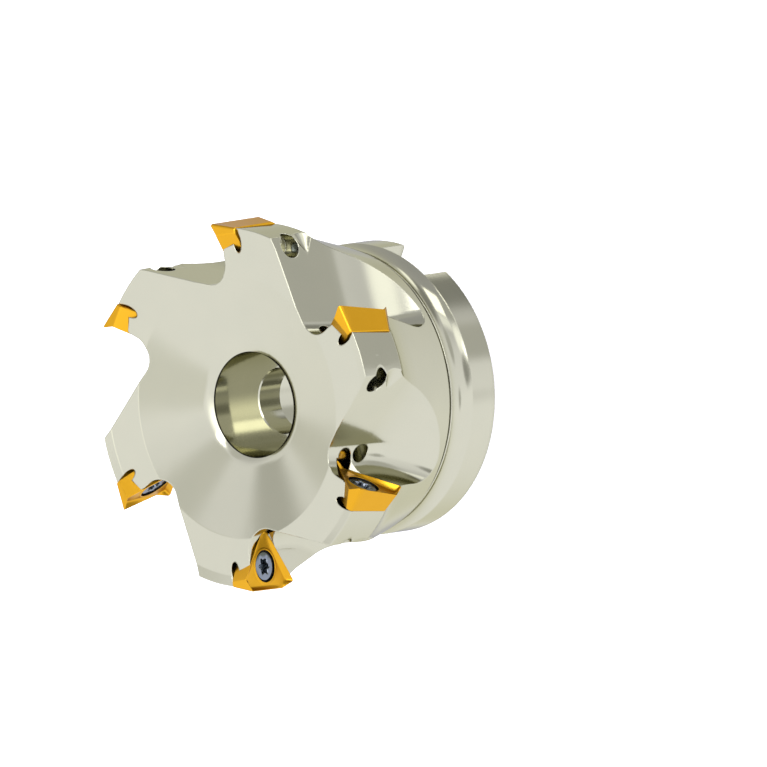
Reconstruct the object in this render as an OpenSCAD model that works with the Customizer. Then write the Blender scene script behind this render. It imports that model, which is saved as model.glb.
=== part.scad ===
// Right-hand 90 degree shoulder and face mill with six indexable triangular inserts.
// +Z runs along the spindle axis, from the hub's rear face (z = 0) to the cutting corners.
// The drive slot runs along X and the first tooth's cutting corner points along +Y.
// All sizes are in millimetres.

/* [Cutter] */
// Diameter over the cutting corners
cut_d = 63; // [62:0.5:66]
// Height from the hub's rear face to the cutting corners
cut_h = 40; // [39.5:0.5:42]
// Diameter of the teeth behind the cutting corners
land_d = 61.5; // [61:0.1:61.8]
// Height of the front face where the dish begins
face_z = 38.4; // [38:0.1:38.8]
// Back end of the cylindrical land on each tooth
land_z = 29.65; // [29:0.05:30.5]

/* [Hub and bore] */
// Diameter of the hub that sits on the arbor's shoulder
hub_d = 49.8; // [48:0.1:52]
// Length of the hub's cylindrical part
hub_h = 6.65; // [6:0.05:8]
// Diameter of the arbor bore
arbor_d = 22; // [20:0.5:24]
// Depth of the arbor bore
arbor_h = 21.4; // [19:0.1:22.5]
// Diameter of the hole for the arbor's clamping screw
clamp_d = 11; // [9:0.5:13]
// Diameter of the counterbore for the clamping screw's head
head_bore_d = 18; // [17:0.5:19]
// Height of the counterbore's floor
head_bore_z = 26.75; // [26:0.05:28]
// Width of the drive slot across the hub's rear face
slot_w = 10.4; // [8:0.1:12]
// Depth of the drive slot
slot_h = 6; // [5:0.1:6.3]

/* [Inserts] */
// Length of an insert's main cutting edge
edge_l = 10.25; // [10:0.05:10.4]
// Length of an insert's wiper edge
wiper_l = 2.25; // [2:0.05:2.4]
// Thickness of an insert at its cutting corners
insert_t = 4.7; // [4.5:0.1:4.8]
// Drop from an insert's cutting corners to its low corners
corner_drop = 1.03; // [0.6:0.01:1.2]
// Clearance angle of an insert's flanks
flank_angle = 12; // [8:0.5:13]
// Axial rake of the insert seats
axial_rake = 5.6; // [4:0.1:7]

/* [Insert screws] */
// Thread diameter of an insert screw
screw_d = 3.5; // [3:0.1:4]
// Length of an insert screw over its head
screw_l = 8; // [7:0.1:9]
// Diameter of an insert screw's head
screw_head_d = 5; // [4.6:0.1:5.2]
// Depth of a screw head's top below the cutting corners
screw_sink = 1.15; // [1.1:0.05:1.5]

/* [Hidden] */
teeth = 6;
$fn = 96;
fine = 240;
cut_away = 1;

// Fits
flank_gap = 0.03;
thread_gap = 0.03;
cone_gap = 0.03;

// Seat attitude
radial_rake = 0.8;
seat_turn = 1.1;

// Insert outline: distances from its centre to the wiper edge and to the main edge
wiper_x = edge_l / 2 + wiper_l * tan(30) / 2;
edge_y = wiper_l / 2 + edge_l * tan(30) / 2;
low_y = edge_y - wiper_l;
groove_in = 0.85;
groove_z = -1.25;
ring_d = 6.3;
ring_z = -1;
insert_bore_d = 3.9;

// Screw
cone_angle = 60;
head_rim = 0.35;
cone_h = (screw_head_d - screw_d) / 2 / tan(cone_angle / 2);
cone_top_d = screw_head_d + 2 * cone_gap
             + 2 * (ring_z + screw_sink + head_rim) * tan(cone_angle / 2);
socket_d = 2.8;
socket_lobe_d = 0.78;
socket_flute_d = 0.62;
socket_h = 1.3;
tip_chamfer = 0.4;

// Hub, collar and front of the body
bore_chamfer = 0.5;
hub_chamfer = 0.5;
clamp_chamfer = 0.2;
band_h = 4.55;
band_d = 49.5;
lip_d = 49;
band_sag = 0.5;
undercut = 0.45;
undercut_w = 0.4;
collar_d = 49.6;
collar_z = hub_h + band_h + 0.15;
cone_slope = 0.27;
blend_z = 24;
blend_r = 25;
blend_bite = 0.002;
rim_d = 58.2;
rim_z = 38.7;
land_top_z = 39.05;
dish_d = 45;
dish_angle = 16.2;
lip_start_d = 21.6;
lip_r = 5.5;

// Gullet: the section is a wedge between the rake wall and the leading tooth's back
wall_drop = 0.95;
apex_r = 19.95;
wedge_angle = 75.5;
floor_r = 3.8;
floor_bite = 0.002;
straight_h = 9.8;
runout_r = 26;
runout_angle = 50;
wall_len = 16;
back_len = 25;

// Details of a seat
wall_gap = 0.35;
wall_top = 0.9;
pit_d = 3.5;
pit_floor = 0.25;
pit_top = 0.80;
relief_d = 1.8;
relief_up = 0.4;
thread_end = 9.25;
exit_d = 4.2;
exit_in = 0.9;
exit_back = 0.35;
hole_reach = 25;
notch_r = 28.15;
notch_z = 31.4;
notch_turn = -28.8;
notch_angle = 54;
notch_h = 4;
coolant_d = 2.8;
coolant_in = [10, 19.8];
coolant_out = [24.5, 32.4];

// Turns a point of the insert's outline through n thirds of a turn
function third(p, n) = [p[0] * cos(120 * n) - p[1] * sin(120 * n),
                        p[0] * sin(120 * n) + p[1] * cos(120 * n)];

// Outline of the insert, moved inwards by o, as low corner and cutting corner in turn
function outline(o) = [for (n = [0:2]) for (p = [[wiper_x - o, low_y + o * tan(15)],
                                                 [wiper_x - o, edge_y - o]]) third(p, n)];

// The same outline as space points, with its own heights at low and cutting corners
function rim(low_o, low_z, top_o, top_z) =
    [for (i = [0:5]) let (low = i % 2 == 0)
        let (p = outline(low ? low_o : top_o)[i]) [p[0], p[1], low ? low_z : top_z]];

// Places its children at tooth k, with +X outwards and +Y in the cutting direction
module at_tooth(k) {
    rotate([0, 0, 90 - k * 360 / teeth]) children();
}

// From a tooth's frame to the insert's: +Z out of the rake face, along the screw, +X to the
// front of the cutter and +Y outwards, with the cutting corner on the cutting circle
module at_seat() {
    translate([cut_d / 2, 0, cut_h])
        rotate([-axial_rake, 0, 0]) rotate([0, -seat_turn, -radial_rake])
            rotate([-90, 0, 0]) rotate([0, 0, -90])
                translate([-wiper_x, -edge_y, 0]) children();
}

// Revolved outline of the body, bore included
module body_outline() {
    hub_r = hub_d / 2;
    band_top = hub_h + band_h;
    collar_r = collar_d / 2;
    blend_x = collar_r + (blend_z - collar_z) * cone_slope;
    land_r = land_d / 2;
    dish_z = face_z - (dish_d - head_bore_d) / 2 * tan(dish_angle);
    difference() {
        polygon([[arbor_d / 2 + bore_chamfer, 0], [hub_r - hub_chamfer, 0],
                 [hub_r, hub_chamfer], [hub_r, hub_h],
                 [band_d / 2, hub_h + 0.05], [lip_d / 2, band_top],
                 [lip_d / 2 - undercut, band_top + 0.05],
                 [collar_r - undercut, band_top + 0.05 + undercut_w],
                 [collar_r + 0.3, collar_z + 0.9], [blend_x, blend_z],
                 [land_r, blend_z], [land_r, land_top_z],
                 [rim_d / 2, rim_z], [dish_d / 2, face_z],
                 [head_bore_d / 2, dish_z], [head_bore_d / 2, head_bore_z],
                 [clamp_d / 2 + clamp_chamfer, head_bore_z],
                 [clamp_d / 2, head_bore_z - clamp_chamfer], [clamp_d / 2, arbor_h],
                 [arbor_d / 2, arbor_h], [arbor_d / 2, bore_chamfer]]);
        band_cut();
        collar_cut(blend_x);
        lip_cut();
    }
}

// Shallow hollow band between the hub and the collar
module band_cut() {
    half = band_h / 2;
    r = (half * half + band_sag * band_sag) / (2 * band_sag);
    translate([(band_d + lip_d) / 4 - band_sag + r, hub_h + half]) circle(r, $fn = fine);
}

// Hollow blend from the collar's cone up to the land
module collar_cut(blend_x) {
    slope_len = norm([1, cone_slope]);
    centre = [blend_x + blend_r / slope_len - blend_bite,
              blend_z - blend_r * cone_slope / slope_len];
    translate(centre) intersection() {
        circle(blend_r, $fn = fine);
        translate([-2 * blend_r, -blend_r])
            square([2 * blend_r, land_z - centre[1] + blend_r]);
    }
}

// Rounded lip where the dished face meets the counterbore
module lip_cut() {
    start = [lip_start_d / 2, face_z - (dish_d - lip_start_d) / 2 * tan(dish_angle)];
    difference() {
        translate([head_bore_d / 2 - cut_away, start[1] - 2])
            square([start[0] - head_bore_d / 2 + cut_away, 3]);
        translate(start + lip_r * [sin(dish_angle), -cos(dish_angle)])
            circle(lip_r, $fn = fine);
    }
}

// Section of a gullet: x runs away from the leading tooth's back, y along that back
module gullet_section() {
    reach = floor_r / tan(wedge_angle / 2);
    wall = [sin(wedge_angle), cos(wedge_angle)];
    polygon([[0, reach], reach * wall, wall_len * wall,
             wall_len * wall + [0, back_len], [0, back_len]]);
    translate([floor_r, reach]) circle(floor_r + floor_bite);
}

// Gullet in front of a tooth: straight at the front, then it curves out through the collar
module gullet() {
    rise = cut_h - face_z + cut_away;
    translate([0, 0, face_z]) rotate([-axial_rake, 0, 0])
        translate([apex_r, -wall_drop, 0]) rotate([0, 0, wedge_angle - 90]) union() {
            translate([0, 0, -straight_h])
                linear_extrude(straight_h + rise + cut_away) gullet_section();
            translate([runout_r, 0, -straight_h])
                rotate([90, 0, 0]) rotate([0, 0, 180])
                    rotate_extrude(angle = runout_angle, $fn = fine)
                        translate([runout_r, 0]) rotate(180) gullet_section();
        }
}

// Solid between the insert's flanks from one height to another, grown by gap
module seat_block(gap, bottom, top) {
    low_o = -bottom * tan(flank_angle) - gap;
    high_o = -top * tan(flank_angle) - gap;
    polyhedron(points = concat(rim(low_o, bottom, low_o, bottom), rim(high_o, top, high_o, top)),
               faces = concat([[0, 1, 2, 3, 4, 5]], [[11, 10, 9, 8, 7, 6]],
                              [for (i = [0:5]) [i, i + 6, (i + 1) % 6 + 6, (i + 1) % 6]]));
}

// Pocket of one insert, with its reliefs and its threaded hole
module seat() {
    thread_d = screw_d + 2 * thread_gap;
    pit = (third([wiper_x, low_y], 2) + third([wiper_x, edge_y], 2)) / 2;
    seat_block(flank_gap, -insert_t, 0);
    seat_block(wall_gap, -wall_drop, wall_top);
    translate([pit[0], pit[1], -insert_t - pit_floor])
        cylinder(h = insert_t + pit_floor + pit_top, d = pit_d);
    translate([pit[0], pit[1], pit_top]) sphere(d = pit_d);
    rotate([0, 0, 240]) seat_relief();
    translate([0, 0, -thread_end])
        cylinder(h = tip_chamfer, d1 = thread_d - 2 * tip_chamfer, d2 = thread_d);
    translate([0, 0, tip_chamfer - thread_end]) cylinder(h = thread_end - tip_chamfer, d = thread_d);
    translate([-exit_back, -exit_in, -hole_reach]) cylinder(h = hole_reach - thread_end, d = exit_d);
}

// Round relief along the foot of the wall behind an insert's long flank
module seat_relief() {
    up = insert_t - relief_up;
    translate([-edge_l / 2, edge_y - up * tan(flank_angle), -up])
        rotate([0, 90, 0]) cylinder(h = edge_l + 2, d = relief_d);
}

// Conical notch in the corner between a tooth's land and its back
module notch() {
    rotate([0, 0, notch_turn]) translate([notch_r, 0, notch_z]) rotate([0, 90, 0])
        cylinder(h = notch_h, r1 = 0, r2 = notch_h * tan(notch_angle));
}

// Coolant hole from the arbor bore to the gullet floor
module coolant_hole() {
    run = coolant_out - coolant_in;
    translate([coolant_in[0], 0.9, coolant_in[1]]) rotate([0, atan2(run[0], run[1]), 0])
        cylinder(h = norm(run), d = coolant_d);
}

// Drive slot across the rear of the hub, midway between two teeth
module drive_slot() {
    translate([-hub_d, -slot_w / 2, -cut_away])
        cube([2 * hub_d, slot_w, slot_h + cut_away]);
}

module cutter_body() {
    color([0.84, 0.83, 0.76]) difference() {
        rotate_extrude($fn = fine) body_outline();
        drive_slot();
        for (k = [0:teeth - 1]) at_tooth(k) {
            gullet();
            at_seat() seat();
            notch();
            coolant_hole();
        }
    }
}

// Insert with its countersunk hole
module insert(k) {
    flank = tan(flank_angle);
    top = rim(corner_drop * flank, -corner_drop, 0, 0);
    base = rim(insert_t * flank, -insert_t, insert_t * flank, -insert_t);
    groove = rim(groove_in, groove_z, groove_in, groove_z);
    cone_z = ring_z - (cone_top_d - insert_bore_d) / 2 / tan(cone_angle / 2);
    color([0.9, 0.66, 0.2]) at_tooth(k - 1) at_seat() difference() {
        union() {
            polyhedron(points = concat(base, top, groove),
                faces = concat([[0, 1, 2, 3, 4, 5]], [[17, 16, 15, 14, 13, 12]],
                    [for (i = [0:5]) [i, i + 6, (i + 1) % 6 + 6, (i + 1) % 6]],
                    [for (i = [0:5]) [i + 6, i + 12, (i + 1) % 6 + 6]],
                    [for (i = [0:5]) [(i + 1) % 6 + 6, i + 12, (i + 1) % 6 + 12]]));
            translate([0, 0, -2]) cylinder(h = 2 + ring_z, d = ring_d);
        }
        translate([0, 0, -insert_t - cut_away]) cylinder(h = insert_t + 2, d = insert_bore_d);
        translate([0, 0, cone_z])
            cylinder(h = ring_z - cone_z, d1 = insert_bore_d, d2 = cone_top_d);
    }
}

// Six-lobed socket of a screw head
module socket() {
    lobe_r = (socket_d - socket_lobe_d) / 2;
    linear_extrude(socket_h + cut_away) union() {
        for (a = [0:60:300]) rotate(a) translate([lobe_r, 0]) circle(d = socket_lobe_d, $fn = 32);
        difference() {
            circle(d = socket_d - socket_lobe_d);
            for (a = [30:60:330]) rotate(a) translate([lobe_r + 0.13, 0])
                circle(d = socket_flute_d, $fn = 32);
        }
    }
}

// Countersunk insert screw, tightened in its seat
module insert_screw(k) {
    color([0.55, 0.6, 0.68]) at_tooth(k - 1) at_seat() translate([0, 0, -screw_sink]) difference() {
        union() {
            translate([0, 0, -head_rim]) cylinder(h = head_rim, d = screw_head_d);
            translate([0, 0, -head_rim - cone_h])
                cylinder(h = cone_h, d1 = screw_d, d2 = screw_head_d);
            translate([0, 0, tip_chamfer - screw_l])
                cylinder(h = screw_l - tip_chamfer - head_rim - cone_h / 2, d = screw_d);
            translate([0, 0, -screw_l])
                cylinder(h = tip_chamfer, d1 = screw_d - 2 * tip_chamfer, d2 = screw_d);
        }
        translate([0, 0, -socket_h]) socket();
    }
}

cutter_body();
for (k = [1:teeth]) insert(k);
for (k = [1:teeth]) insert_screw(k);
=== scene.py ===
"""Looks of a 63 mm shoulder and face mill with six coated inserts and their screws."""
import math

import bmesh
import bpy
from mathutils import Matrix, Vector


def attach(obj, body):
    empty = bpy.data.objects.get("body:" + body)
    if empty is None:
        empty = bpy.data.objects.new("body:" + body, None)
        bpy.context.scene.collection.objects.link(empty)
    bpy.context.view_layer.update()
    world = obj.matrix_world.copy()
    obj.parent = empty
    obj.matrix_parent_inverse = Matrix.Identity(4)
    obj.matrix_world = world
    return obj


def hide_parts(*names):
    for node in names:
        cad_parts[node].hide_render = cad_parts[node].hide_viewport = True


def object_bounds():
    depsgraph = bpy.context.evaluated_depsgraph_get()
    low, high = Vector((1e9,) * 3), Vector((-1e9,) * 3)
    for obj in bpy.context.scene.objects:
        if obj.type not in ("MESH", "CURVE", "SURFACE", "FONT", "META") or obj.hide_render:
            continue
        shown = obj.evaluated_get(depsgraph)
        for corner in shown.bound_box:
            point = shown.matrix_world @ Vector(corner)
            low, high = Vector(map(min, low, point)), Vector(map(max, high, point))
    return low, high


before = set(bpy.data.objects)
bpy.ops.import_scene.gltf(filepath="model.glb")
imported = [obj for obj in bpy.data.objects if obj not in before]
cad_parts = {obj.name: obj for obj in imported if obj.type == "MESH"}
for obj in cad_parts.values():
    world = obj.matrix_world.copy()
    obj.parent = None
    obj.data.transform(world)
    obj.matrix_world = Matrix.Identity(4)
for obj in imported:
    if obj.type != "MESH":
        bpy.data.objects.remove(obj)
cad_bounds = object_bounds()

# Metres in a millimetre
MM = 0.001
TEETH = 6

# Camera: direction and roll in degrees, height of the picture and its centre in millimetres
VIEW_AZIMUTH = -57.725
VIEW_ELEVATION = 47.791
VIEW_ROLL = -98.111
VIEW_HEIGHT = 130.43
VIEW_CENTRE = (-0.681, 0.374)
VIEW_DISTANCE = 400

# Inserts, as the CAD model has them, in millimetres and degrees
CUT_D = 63
CUT_H = 40
EDGE_L = 10.25
WIPER_L = 2.25
INSERT_T = 4.7
CORNER_DROP = 1.03
FLANK_ANGLE = 12
AXIAL_RAKE = 5.6
RADIAL_RAKE = 0.8
SEAT_TURN = 1.1
WIPER_X = EDGE_L / 2 + WIPER_L * math.tan(math.radians(30)) / 2
EDGE_Y = WIPER_L / 2 + EDGE_L * math.tan(math.radians(30)) / 2
LOW_Y = EDGE_Y - WIPER_L
BORE_D = 3.9

# What only the looks of an insert have: honed edge, land, chip groove, the raised ring round
# the hole, the stepped countersink's mouth and the rounding of the outline's corners
HONE = 0.05
LAND = 0.14
LAND_Z = -0.01
GROOVE_IN = 0.85
GROOVE_Z = -1.08
GROOVE_STEPS = 6
RING_D = 5.9
RING_Z = -0.93
RING_RISE = 0.3
RING_STEPS = 4
RING_ROUND = 0.05
MOUTH_GAP = 0.26
SEAT_GAP = 0.03
FOOT = 0.12
CUT_CORNER_R = 0.4
LOW_CORNER_R = 0.45
ARC_STEPS = 6
LONG_EDGE_STEPS = 14
SHORT_EDGE_STEPS = 5

# Small rounding of the body's edges, and the edge between lip and counterbore, where a thin ring
# of painted shade is drawn
EDGE_BREAK = 0.3
MOUTH_R = 9
MOUTH_Z = 34.09

# Painted shade in hollows: how far a hollow's walls may be apart and still be darkened, and how
# dark it then is
PAINTED_SHADE_REACH = 2.5
PAINTED_SHADE_OPEN = (0.15, 0.65)
PAINTED_SHADE_LEAST = 0.12
PAINTED_SHADE_COLOUR = (0.012, 0.012, 0.008)

# Insert screws, in millimetres and degrees
SCREW_D = 3.5
SCREW_L = 8
HEAD_D = 5
HEAD_SINK = 1.15
HEAD_RIM = 0.35
CONE_ANGLE = 60
SOCKET_D = 2.9
SOCKET_H = 1.3
SOCKET_LOBE = 0.17
PITCH = 0.6
THREAD_DEPTH = 0.34
THREAD_START = 0.1
RUN_OUT = 0.5
TIP_TAPER = 0.12
TIP_CHAMFER = 0.35
SCREW_SEGMENTS = 96
ROWS_PER_PITCH = 8


# ---------------------------------------------------------------- placing

def turn(axis, degrees):
    return Matrix.Rotation(math.radians(degrees), 4, axis)


def seat_matrix(k):
    """From the insert's own millimetre frame, +Z out of its rake face, to the part's metres."""
    tooth = turn("Z", 90 - k * 360 / TEETH)
    corner = Matrix.Translation((CUT_D / 2, 0, CUT_H))
    tilt = turn("X", -AXIAL_RAKE) @ turn("Z", -RADIAL_RAKE) @ turn("Y", -SEAT_TURN)
    stand = turn("X", -90) @ turn("Z", -90)
    centre = Matrix.Translation((-WIPER_X, -EDGE_Y, 0))
    return Matrix.Scale(MM, 4) @ tooth @ corner @ tilt @ stand @ centre


def view_axes():
    """The camera's right, up and towards-the-viewer directions in the part's frame."""
    azimuth, elevation = math.radians(VIEW_AZIMUTH), math.radians(VIEW_ELEVATION)
    back = Vector((math.cos(azimuth) * math.cos(elevation),
                   math.sin(azimuth) * math.cos(elevation), math.sin(elevation)))
    level = Vector((0, 0, 1)).cross(back).normalized()
    roll = Matrix.Rotation(math.radians(VIEW_ROLL), 3, back)
    right = roll @ level
    return right, back.cross(right), back


# ---------------------------------------------------------------- mesh tools

def loft(name, rings, closed=False, caps=(False, False), sharp=30):
    """A mesh through rings of equally many points, with flat or smooth shading by angle."""
    mesh = bmesh.new()
    rows = [[mesh.verts.new(p) for p in ring] for ring in rings]
    count = len(rows[0])
    pairs = list(zip(rows, rows[1:])) + ([(rows[-1], rows[0])] if closed else [])
    for low, high in pairs:
        for i in range(count):
            j = (i + 1) % count
            mesh.faces.new((low[i], low[j], high[j], high[i]))
    if caps[0]:
        mesh.faces.new(list(reversed(rows[0])))
    if caps[1]:
        mesh.faces.new(rows[-1])
    bmesh.ops.recalc_face_normals(mesh, faces=mesh.faces)
    data = bpy.data.meshes.new(name)
    mesh.to_mesh(data)
    mesh.free()
    data.shade_smooth()
    data.set_sharp_from_angle(angle=math.radians(sharp))
    piece = bpy.data.objects.new(name, data)
    bpy.context.scene.collection.objects.link(piece)
    return piece


def circle(radius, z, angles):
    return [Vector((radius * math.cos(a), radius * math.sin(a), z)) for a in angles]


def thirds(point, n):
    return Matrix.Rotation(math.radians(120 * n), 2) @ Vector(point)


# ---------------------------------------------------------------- inserts

def insert_outline(inset):
    """Rounded outline moved inwards: (x, y, share), share running from 0 at the cutting
    corners to 1 at the low ones."""
    corners = []
    for n in range(3):
        low = (WIPER_X - inset, LOW_Y + inset * math.tan(math.radians(15)))
        corners.append((thirds(low, n), LOW_CORNER_R, 1.0))
        corners.append((thirds((WIPER_X - inset, EDGE_Y - inset), n), CUT_CORNER_R, 0.0))
    arcs = []
    for i, (corner, radius, share) in enumerate(corners):
        before = (corners[i - 1][0] - corner).normalized()
        after = (corners[(i + 1) % 6][0] - corner).normalized()
        half = before.angle(after) / 2
        centre = corner + (before + after).normalized() * radius / math.sin(half)
        start = corner + before * radius / math.tan(half) - centre
        sweep = math.pi - 2 * half
        arcs.append(([centre + Matrix.Rotation(sweep * s / ARC_STEPS, 2) @ start
                      for s in range(ARC_STEPS + 1)], share))
    points = []
    for i, (arc, share) in enumerate(arcs):
        points += [(p.x, p.y, share) for p in arc]
        following, next_share = arcs[(i + 1) % 6]
        steps = SHORT_EDGE_STEPS if share == 1.0 else LONG_EDGE_STEPS
        for s in range(1, steps):
            p = arc[-1].lerp(following[0], s / steps)
            points.append((p.x, p.y, share + (next_share - share) * s / steps))
    return points


def insert_ring(inset, z, drop=0.0):
    """The outline at a height; drop lowers it towards the low corners."""
    return [Vector((x, y, z - drop * share)) for x, y, share in insert_outline(inset)]


def build_insert(k):
    """One coated insert: countersunk hole, clearance flanks, honed edge, land and chip groove.
    Its second material paints near-black shade onto the inside of the hole."""
    flank = math.tan(math.radians(FLANK_ANGLE))
    angles = [math.atan2(y, x) for x, y, _ in insert_outline(GROOVE_IN)]
    seat_r = HEAD_D / 2 + SEAT_GAP
    seat_z = -HEAD_SINK - HEAD_RIM
    cone_z = seat_z - (seat_r - BORE_D / 2) / math.tan(math.radians(CONE_ANGLE / 2))
    mouth_r = HEAD_D / 2 + MOUTH_GAP
    rings = [
        circle(mouth_r - 0.04, seat_z, angles),
        circle(seat_r, seat_z, angles),
        circle(BORE_D / 2, cone_z, angles),
        circle(BORE_D / 2, FOOT - INSERT_T, angles),
        circle(BORE_D / 2 + FOOT, -INSERT_T, angles),
        insert_ring(INSERT_T * flank + FOOT, -INSERT_T),
        insert_ring((INSERT_T - FOOT) * flank, FOOT - INSERT_T),
        insert_ring(HONE * flank, -HONE, CORNER_DROP),
        insert_ring(HONE * 0.5, 0, CORNER_DROP),
        insert_ring(LAND, LAND_Z, CORNER_DROP),
    ]
    for s in range(1, GROOVE_STEPS + 1):
        t = s / GROOVE_STEPS
        ease = math.sin(t * math.pi / 2)
        edge = insert_ring(LAND + (GROOVE_IN - LAND) * t, 0, CORNER_DROP)
        rings.append([Vector((p.x, p.y, p.z + (GROOVE_Z - p.z) * ease)) for p in edge])
    for s in range(RING_STEPS + 1):
        t = s / RING_STEPS
        climb = (RING_Z - GROOVE_Z) * (1 - math.cos(math.pi * t)) / 2
        rings.append(circle(RING_D / 2 + RING_RISE * (1 - t), GROOVE_Z + climb, angles))
    rings.append(circle(mouth_r + RING_ROUND, RING_Z, angles))
    rings.append(circle(mouth_r, RING_Z - RING_ROUND, angles))
    rings.append(circle(mouth_r, seat_z + 0.04, angles))
    piece = loft(f"insert_{k + 1}_coated", rings, closed=True, sharp=28)
    # Faces inside the hole get the second material, a near-black painted shade
    for face in piece.data.polygons:
        inside = face.center.xy.length < mouth_r + 0.001 and face.center.z > FOOT - INSERT_T
        face.material_index = 1 if inside else 0
    piece.data.transform(seat_matrix(k))
    return piece


# ---------------------------------------------------------------- screws

def torx(radius_share, z, angles):
    """Six-lobed outline; radius_share scales it."""
    points = []
    for a in angles:
        wave = math.cos(6 * a)
        lobe = SOCKET_LOBE * (wave * (1.5 - 0.5 * wave * wave))
        r = radius_share * (SOCKET_D / 2 - SOCKET_LOBE + lobe)
        points.append(Vector((r * math.cos(a), r * math.sin(a), z)))
    return points


def build_screw(k):
    """One insert screw: six-lobed socket, countersunk head and a helical thread to its tip."""
    angles = [2 * math.pi * i / SCREW_SEGMENTS for i in range(SCREW_SEGMENTS)]
    cone_h = (HEAD_D - SCREW_D) / 2 / math.tan(math.radians(CONE_ANGLE / 2))
    rings = [
        torx(0.02, -SOCKET_H - 0.35, angles),
        torx(0.9, -SOCKET_H, angles),
        torx(0.97, -0.14, angles),
        torx(1.02, -0.06, angles),
        torx(1.09, 0, angles),
        circle(HEAD_D / 2 - 0.3, 0, angles),
        circle(HEAD_D / 2 - 0.13, -0.05, angles),
        circle(HEAD_D / 2 - 0.06, -0.16, angles),
        circle(HEAD_D / 2 - 0.05, -HEAD_RIM + 0.05, angles),
        circle(SCREW_D / 2 - 0.02, -HEAD_RIM - cone_h, angles),
    ]
    thread_top = -HEAD_RIM - cone_h - THREAD_START
    rows = int((SCREW_L + thread_top) / PITCH * ROWS_PER_PITCH)
    for row in range(rows + 1):
        z = thread_top - row * PITCH / ROWS_PER_PITCH
        run_in = min(1.0, row / ROWS_PER_PITCH)
        run_out = min(1.0, max(0.0, (z + SCREW_L) / RUN_OUT))
        ring = []
        for a in angles:
            phase = (z / PITCH - a / (2 * math.pi)) % 1.0
            ridge = max(0.0, min(1.0, 1.3 - 2.6 * abs(phase - 0.5) * 1.25))
            r = SCREW_D / 2 - 0.01 - THREAD_DEPTH * (1 - ridge * run_in * run_out)
            r -= TIP_TAPER * (1 - run_out)
            ring.append(Vector((r * math.cos(a), r * math.sin(a), z)))
        rings.append(ring)
    rings.append(circle(SCREW_D / 2 - THREAD_DEPTH - TIP_CHAMFER, -SCREW_L, angles))
    piece = loft(f"insert_screw_{k + 1}_torx", rings, caps=(True, True), sharp=32)
    piece.data.transform(seat_matrix(k) @ Matrix.Translation((0, 0, -HEAD_SINK)))
    return piece


# ---------------------------------------------------------------- materials

def metal(name, colour, other, roughness, grain, bump, scale, edge=0.0,
          glance=(0.6, 0.6, 0.6)):
    """Plated metal: two close tones, uneven gloss, a fine grain of scale per metre, edges
    rounded by edge millimetres, and the share of a metal's bright glancing reflection."""
    material = bpy.data.materials.new(name)
    material.use_nodes = True
    nodes, links = material.node_tree.nodes, material.node_tree.links
    shader = nodes["Principled BSDF"]
    shader.inputs["Metallic"].default_value = 1.0
    shader.inputs["Specular Tint"].default_value = (*glance, 1)
    place = nodes.new("ShaderNodeTexCoord")
    cloud = nodes.new("ShaderNodeTexNoise")
    cloud.inputs["Scale"].default_value = scale * 0.08
    cloud.inputs["Detail"].default_value = 4
    links.new(place.outputs["Object"], cloud.inputs["Vector"])
    tone = nodes.new("ShaderNodeMix")
    tone.data_type = "RGBA"
    tone.inputs["A"].default_value = (*colour, 1)
    tone.inputs["B"].default_value = (*other, 1)
    links.new(cloud.outputs["Fac"], tone.inputs["Factor"])
    links.new(tone.outputs["Result"], shader.inputs["Base Color"])
    fine = nodes.new("ShaderNodeTexNoise")
    fine.inputs["Scale"].default_value = scale
    fine.inputs["Detail"].default_value = 6
    links.new(place.outputs["Object"], fine.inputs["Vector"])
    gloss = nodes.new("ShaderNodeMapRange")
    gloss.inputs["To Min"].default_value = roughness - grain
    gloss.inputs["To Max"].default_value = roughness + grain
    links.new(fine.outputs["Fac"], gloss.inputs["Value"])
    links.new(gloss.outputs["Result"], shader.inputs["Roughness"])
    relief = nodes.new("ShaderNodeBump")
    relief.inputs["Strength"].default_value = bump
    relief.inputs["Distance"].default_value = 0.00002
    links.new(fine.outputs["Fac"], relief.inputs["Height"])
    if edge:
        rounded = nodes.new("ShaderNodeBevel")
        rounded.samples = 6
        rounded.inputs["Radius"].default_value = edge * MM
        links.new(rounded.outputs["Normal"], relief.inputs["Normal"])
    links.new(relief.outputs["Normal"], shader.inputs["Normal"])
    return material


def dress(piece, *materials):
    """Gives a piece these materials; a new mesh keeps the faces' choice among them."""
    if piece.data.materials:
        piece.data.materials.clear()
    for material in materials:
        piece.data.materials.append(material)


def between(nodes, links, value, off, full):
    """0 at off, 1 at full, straight between them; off and full in millimetres."""
    step = nodes.new("ShaderNodeMapRange")
    step.inputs["From Min"].default_value = off * MM
    step.inputs["From Max"].default_value = full * MM
    links.new(value, step.inputs["Value"])
    return step.outputs["Result"]


def combined(nodes, links, operation, first, second):
    """One arithmetic step on two sockets or numbers."""
    node = nodes.new("ShaderNodeMath")
    node.operation = operation
    for i, value in enumerate((first, second)):
        if isinstance(value, (int, float)):
            node.inputs[i].default_value = value
        else:
            links.new(value, node.inputs[i])
    return node.outputs["Value"]


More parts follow.
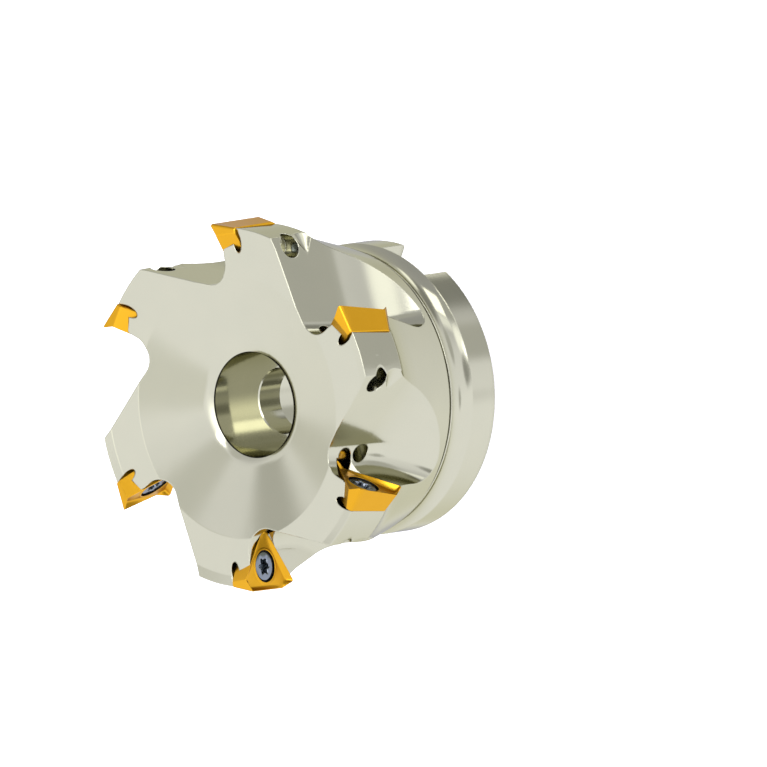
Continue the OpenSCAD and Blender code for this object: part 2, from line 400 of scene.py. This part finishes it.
def paint_body_shade(material):
    """Painted shade in the hollows outside the counterbore, a painted dark line where the front
    face's lip meets it, and no rounding of edges inside it."""
    nodes, links = material.node_tree.nodes, material.node_tree.links
    place = nodes.new("ShaderNodeTexCoord")
    flat = nodes.new("ShaderNodeVectorMath")
    flat.operation = "MULTIPLY"
    flat.inputs[1].default_value = (1, 1, 0)
    links.new(place.outputs["Object"], flat.inputs[0])
    length = nodes.new("ShaderNodeVectorMath")
    length.operation = "LENGTH"
    links.new(flat.outputs["Vector"], length.inputs[0])
    radius = length.outputs["Value"]
    split = nodes.new("ShaderNodeSeparateXYZ")
    links.new(place.outputs["Object"], split.inputs["Vector"])
    # Thin dark ring of painted shade at the top of the counterbore, where the lip's edge meets it
    painted_dark_edge = combined(nodes, links, "MULTIPLY",
                     between(nodes, links, radius, MOUTH_R + 0.14, MOUTH_R + 0.08),
                     between(nodes, links, split.outputs["Z"], MOUTH_Z - 0.2, MOUTH_Z - 0.15))
    shader = nodes["Principled BSDF"]
    # Painted shade: ambient occlusion darkens the body's hollows towards near-black, except
    # inside the counterbore
    painted_shade_ao = nodes.new("ShaderNodeAmbientOcclusion")
    painted_shade_ao.samples = 6
    painted_shade_ao.inputs["Distance"].default_value = PAINTED_SHADE_REACH * MM
    shade = nodes.new("ShaderNodeMapRange")
    shade.inputs["From Min"].default_value = PAINTED_SHADE_OPEN[0]
    shade.inputs["From Max"].default_value = PAINTED_SHADE_OPEN[1]
    shade.inputs["To Min"].default_value = PAINTED_SHADE_LEAST
    links.new(painted_shade_ao.outputs["AO"], shade.inputs["Value"])
    off_painted_dark_edge = combined(nodes, links, "SUBTRACT", 1.0, painted_dark_edge)
    open_bore = between(nodes, links, radius, MOUTH_R + 0.06, MOUTH_R + 0.02)
    shaded = combined(nodes, links, "MAXIMUM", shade.outputs["Result"], open_bore)
    light = combined(nodes, links, "MULTIPLY", shaded, off_painted_dark_edge)
    darkened = nodes.new("ShaderNodeMix")
    darkened.data_type = "RGBA"
    darkened.inputs["A"].default_value = (*PAINTED_SHADE_COLOUR, 1)
    links.new(shader.inputs["Base Color"].links[0].from_socket, darkened.inputs["B"])
    links.new(light, darkened.inputs["Factor"])
    links.new(darkened.outputs["Result"], shader.inputs["Base Color"])
    rounded = [node for node in nodes if node.bl_idname == "ShaderNodeBevel"][0]
    links.new(combined(nodes, links, "MULTIPLY", EDGE_BREAK * MM,
                       between(nodes, links, radius, MOUTH_R + 0.02, MOUTH_R + 0.06)),
              rounded.inputs["Radius"])


body_metal = metal("satin_nickel", (0.400, 0.394, 0.288), (0.425, 0.414, 0.300), 0.12, 0.02, 0.15,
                   2500, EDGE_BREAK, (0.6, 0.59, 0.47))
paint_body_shade(body_metal)
gold = metal("titanium_nitride", (0.53, 0.27, 0.012), (0.56, 0.292, 0.017), 0.3, 0.03, 0.12, 4000)
steel = metal("blued_steel", (0.165, 0.187, 0.205), (0.189, 0.211, 0.224), 0.2, 0.03, 0.1, 4000)
# Near-black painted shade for the insides of the inserts' holes
hole_shade_material = metal("painted_hole_shade", (0.03, 0.028, 0.024), (0.05, 0.047, 0.04), 0.4, 0.05, 0.2, 4000)

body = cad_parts["cutter_body"]
dress(body, body_metal)
for k in range(TEETH):
    insert = build_insert(k)
    dress(insert, gold, hole_shade_material)
    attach(insert, f"insert_{k + 1}")
    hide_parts(f"insert_{k + 1}")
    screw = build_screw(k)
    dress(screw, steel)
    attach(screw, f"insert_screw_{k + 1}")
    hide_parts(f"insert_screw_{k + 1}")


# ---------------------------------------------------------------- camera, floor and lights

right, up, back = view_axes()
view = Matrix((right, up, back)).transposed().to_4x4()


def seen_from(lon, lat, distance):
    """A place by its direction from the object: degrees to the right of the camera and above."""
    lon, lat = math.radians(lon), math.radians(lat)
    return (right * math.sin(lon) * math.cos(lat) + up * math.sin(lat)
            + back * math.cos(lon) * math.cos(lat)) * distance


camera = bpy.data.objects.new("camera", bpy.data.cameras.new("camera"))
bpy.context.scene.collection.objects.link(camera)
camera.data.type = "ORTHO"
camera.data.ortho_scale = VIEW_HEIGHT * MM
camera.data.clip_end = 10
aim = right * VIEW_CENTRE[0] + up * VIEW_CENTRE[1] + back * VIEW_DISTANCE
camera.matrix_world = Matrix.Translation(aim * MM) @ view
bpy.context.scene.camera = camera

FLOOR_SIZE = 6.0
floor_data = bpy.data.meshes.new("floor")
floor_mesh = bmesh.new()
bmesh.ops.create_grid(floor_mesh, x_segments=2, y_segments=2, size=FLOOR_SIZE / 2)
floor_mesh.to_mesh(floor_data)
floor_mesh.free()
floor = bpy.data.objects.new("floor", floor_data)
bpy.context.scene.collection.objects.link(floor)
floor.location.z = cad_bounds[0][2]
paper = bpy.data.materials.new("white_floor")
paper.use_nodes = True
paper_shader = paper.node_tree.nodes["Principled BSDF"]
paper_shader.inputs["Base Color"].default_value = (0.9, 0.9, 0.9, 1)
paper_shader.inputs["Roughness"].default_value = 0.9
paper_shader.inputs["Emission Color"].default_value = (1, 1, 1, 1)
paper_shader.inputs["Emission Strength"].default_value = 0.5
dress(floor, paper)
floor.visible_glossy = False


def softbox(name, lon, lat, width, height, radiance, distance=0.6):
    """A rectangular soft light, seen from the object width by height degrees large."""
    data = bpy.data.lights.new(name, "AREA")
    data.shape = "RECTANGLE"
    data.size = 2 * distance * math.tan(math.radians(width / 2))
    data.size_y = 2 * distance * math.tan(math.radians(height / 2))
    data.energy = radiance * math.pi * data.size * data.size_y
    lamp = bpy.data.objects.new(name, data)
    bpy.context.scene.collection.objects.link(lamp)
    place = seen_from(lon, lat, distance)
    facing = place.normalized()
    side = up.cross(facing).normalized()
    lamp.matrix_world = (Matrix.Translation(place)
                         @ Matrix((side, facing.cross(side), facing)).transposed().to_4x4())
    return lamp


softbox("key", 82, 57, 28, 17, 2.6)

world = bpy.data.worlds.new("studio")
world.use_nodes = True
bpy.context.scene.world = world
nodes, links = world.node_tree.nodes, world.node_tree.links
background = nodes["Background"]
place = nodes.new("ShaderNodeTexCoord")


def along(direction):
    """How far the looked-at direction points along another, from -1 to 1."""
    dot = nodes.new("ShaderNodeVectorMath")
    dot.operation = "DOT_PRODUCT"
    dot.inputs[1].default_value = direction
    links.new(place.outputs["Generated"], dot.inputs[0])
    return dot.outputs["Value"]


def graded(value, stops):
    """Grey level by value, through (value, level) stops."""
    shift = nodes.new("ShaderNodeMapRange")
    shift.inputs["From Min"].default_value = -1
    links.new(value, shift.inputs["Value"])
    ramp = nodes.new("ShaderNodeValToRGB")
    links.new(shift.outputs["Result"], ramp.inputs["Fac"])
    while len(ramp.color_ramp.elements) < len(stops):
        ramp.color_ramp.elements.new(0.5)
    for element, (at, level) in zip(ramp.color_ramp.elements, stops):
        element.position = (at + 1) / 2
        element.color = (level, level, level, 1)
    return ramp.outputs["Color"]


# Blue of a card or panel, as a share of its red and green
CARD_BLUE = 0.95


def over(under, mask, level):
    """The walls with one flat tone laid over them where the mask is 1."""
    mix = nodes.new("ShaderNodeMix")
    mix.data_type = "RGBA"
    links.new(mask, mix.inputs["Factor"])
    links.new(under, mix.inputs["A"])
    mix.inputs["B"].default_value = (level, level, level * CARD_BLUE, 1)
    return mix.outputs["Result"]


def smooth(value, off, full):
    """0 at off, 1 at full and smooth between them."""
    step = nodes.new("ShaderNodeMapRange")
    step.interpolation_type = "SMOOTHSTEP"
    step.inputs["From Min"].default_value = off
    step.inputs["From Max"].default_value = full
    links.new(value, step.inputs["Value"])
    return step.outputs["Result"]


def card(under, lon, lat, inner, outer, level):
    """A round grey card in front of the walls, with a soft rim between two angles."""
    value = along(seen_from(lon, lat, 1))
    return over(under, smooth(value, math.cos(math.radians(outer)),
                              math.cos(math.radians(inner))), level)


def panel(under, lon, lat, width, height, soft, level):
    """An oblong panel in front of the walls, its rim soft over 2 * soft degrees."""
    facing = seen_from(lon, lat, 1)
    side = up.cross(facing).normalized()
    mask = smooth(along(facing), 0, 0.1)
    for axis, size in ((side, width), (facing.cross(side), height)):
        away = nodes.new("ShaderNodeMath")
        away.operation = "ABSOLUTE"
        links.new(along(axis), away.inputs[0])
        inside = smooth(away.outputs["Value"], math.sin(math.radians(size / 2 + soft)),
                        math.sin(math.radians(size / 2 - soft)))
        both = nodes.new("ShaderNodeMath")
        both.operation = "MULTIPLY"
        links.new(mask, both.inputs[0])
        links.new(inside, both.inputs[1])
        mask = both.outputs["Value"]
    return over(under, mask, level)


# Grey of the studio's walls by height: (upward share of the direction, level)
WALL_STOPS = [(-1, 1.0), (-0.12, 1.0), (0.06, 0.92), (0.4, 0.84), (0.75, 0.5), (1, 0.4)]

# Degrees right and up, width, height, softness of the rim, level
PANELS = ((-5, 8, 56, 30, 14, 2.2), (-3, 27, 82, 13, 2, 3.6), (80, 43, 32, 9, 3, 1.12))

# Degrees right and up, where the rim's fade begins and ends, level
CARDS = (
    (48, 31, 3, 14, 1.35), (50, 9, 5, 13, 0.36), (99, 25, 6, 13, 0.53), (90, -5, 2, 8, 0.52),
    (131, 42, 8, 17, 0.3), (150, 43, 4, 9, 1.5), (38, 52, 6, 13, 0.5), (170, 22, 6, 14, 0.75),
    (-96, 14, 3, 12, 0.55), (-60, 14, 5, 11, 0.7), (-62, 35, 5, 11, 0.62), (-41, 39, 2, 6, 0.6),
    (-75, 4, 3, 10, 0.75), (-69, -8, 2, 8, 1.5), (-53, -17, 4, 12, 0.83), (-113, 2, 2, 7, 0.74),
    (180, 0, 3, 20, 0.4),
)

# Colour and strength of the whole surround
SURROUND = (1.64, 1.66, 1.92)

walls = graded(along(up), WALL_STOPS)
for each in PANELS:
    walls = panel(walls, *each)
for each in CARDS:
    walls = card(walls, *each)
tint = nodes.new("ShaderNodeMix")
tint.data_type = "RGBA"
tint.blend_type = "MULTIPLY"
tint.inputs["Factor"].default_value = 1
links.new(walls, tint.inputs["A"])
tint.inputs["B"].default_value = (*SURROUND, 1)
links.new(tint.outputs["Result"], background.inputs["Color"])

bpy.context.scene.view_settings.view_transform = "Standard"
